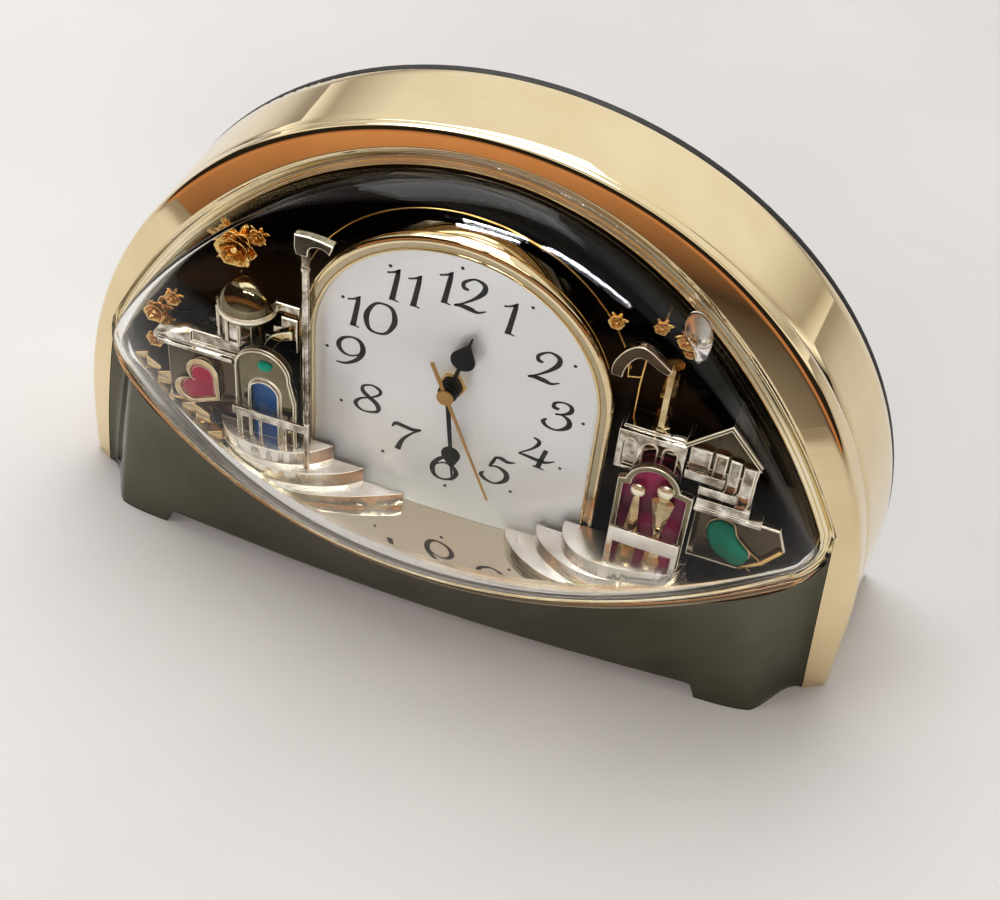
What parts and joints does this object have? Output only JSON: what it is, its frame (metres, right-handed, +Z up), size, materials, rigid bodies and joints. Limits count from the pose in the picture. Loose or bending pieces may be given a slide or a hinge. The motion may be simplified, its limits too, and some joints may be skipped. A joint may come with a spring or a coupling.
{
  "type": "desk clock",
  "caption": "Arched gilt mantel clock with a domed clear window, spade hands on an arched dial and a small gilt street scene.",
  "frame": {"origin": "centre of the case's bounding box in plan, on the surface it stands on", "axes": "+Z up, +X to the right seen from the front, the dial faces -Y"},
  "size_m": [0.299, 0.1116, 0.1763],
  "materials": {
    "gilt_mirror": "polished gilt plate on moulded plastic",
    "clear_lens": "clear polished acrylic",
    "bronze_mirror": "dark bronze mirror foil",
    "champagne_mirror": "champagne mirror foil",
    "gilt_satin": "satin gilt with bright edges",
    "dial_silver": "pale silver-white print ground",
    "gilt_clear": "thin gilt plate over clear plastic",
    "smoked_clear": "smoked bronze, glossy",
    "clear_plated": "vacuum-plated clear plastic, pale gold",
    "gilt_trim": "polished gilt",
    "crimson_stone": "deep crimson resin stone",
    "green_stone": "deep green resin stone",
    "blue_glass": "translucent blue resin",
    "magenta_film": "magenta foil",
    "black_plastic": "fine spark-eroded black",
    "brass_nut": "turned brass",
    "cell_wrap": "plain shrink wrap",
    "steel_contact": "plated steel",
    "hand_black": "semi-gloss black"
  },
  "bodies": {
    "case": {"arch_bezel": "gilt_mirror", "rear_shell": "gilt_mirror", "front_panel": "gilt_mirror", "lens": "clear_lens", "scene_wall": "bronze_mirror", "mirror_floor": "champagne_mirror", "dial_frame": "gilt_satin", "dial_plate": "dial_silver", "left_steps": "gilt_clear", "right_steps": "gilt_clear", "left_dome": "gilt_clear", "left_cornice": "gilt_clear", "left_portal": "gilt_clear", "right_arch": "gilt_clear", "niche": "gilt_clear", "left_house": "smoked_clear", "right_facade": "smoked_clear", "left_rotunda": "clear_plated", "left_terrace": "clear_plated", "left_column": "clear_plated", "left_rail": "clear_plated", "right_storey": "clear_plated", "right_column": "clear_plated", "right_house": "clear_plated", "right_beams": "clear_plated", "right_rail": "clear_plated", "right_bell": "clear_plated", "figure_left": "clear_plated", "figure_right": "clear_plated", "left_flowers": "gilt_trim", "right_flowers": "gilt_trim", "heart_bezel": "gilt_trim", "kidney_bezel": "gilt_trim", "right_rods": "gilt_trim", "right_trim": "gilt_trim", "wall_arc": "gilt_trim", "heart_gem": "crimson_stone", "kidney_gem": "green_stone", "oval_gem": "green_stone", "door_panel": "blue_glass", "niche_back": "magenta_film", "movement_case": "black_plastic", "dial_nut": "brass_nut", "battery_cell": "cell_wrap", "battery_contacts": "steel_contact", "back_cover": "black_plastic", "cover_screws": "steel_contact"},
    "hour": {"hour_hand": "hand_black", "hour_pipe": "brass_nut"},
    "minute": {"minute_hand": "hand_black", "minute_pipe": "brass_nut"},
    "second": {"second_hand": "gilt_trim", "second_arbor": "gilt_trim"},
    "knob": {"setting_knob": "black_plastic"},
    "hatch": {"rear_hatch": "black_plastic"}
  },
  "joints": [
    {"name": "minute_turn", "type": "hinge", "parent": "case", "child": "minute", "pos_m": [0, -0.0118, 0.0968], "axis": [0, 1, 0], "continuous": true},
    {"name": "hour_turn", "type": "hinge", "parent": "case", "child": "hour", "pos_m": [0, -0.0118, 0.0968], "axis": [0, 1, 0], "continuous": true},
    {"name": "second_turn", "type": "hinge", "parent": "case", "child": "second", "pos_m": [0, -0.0118, 0.0968], "axis": [0, 1, 0], "continuous": true},
    {"name": "knob_turn", "type": "hinge", "parent": "case", "child": "knob", "pos_m": [0.015, 0.0082, 0.1058], "axis": [0, 1, 0], "continuous": true},
    {"name": "hatch_hinge", "type": "hinge", "parent": "case", "child": "hatch", "pos_m": [0, 0.0541, 0.0577], "axis": [-1, 0, 0], "range_deg": [0, 95]}
  ],
  "couplings": [
    {"joint": "hour_turn", "follows": "minute_turn", "ratio": 0.083333},
    {"joint": "knob_turn", "follows": "minute_turn", "ratio": -1}
  ]
}
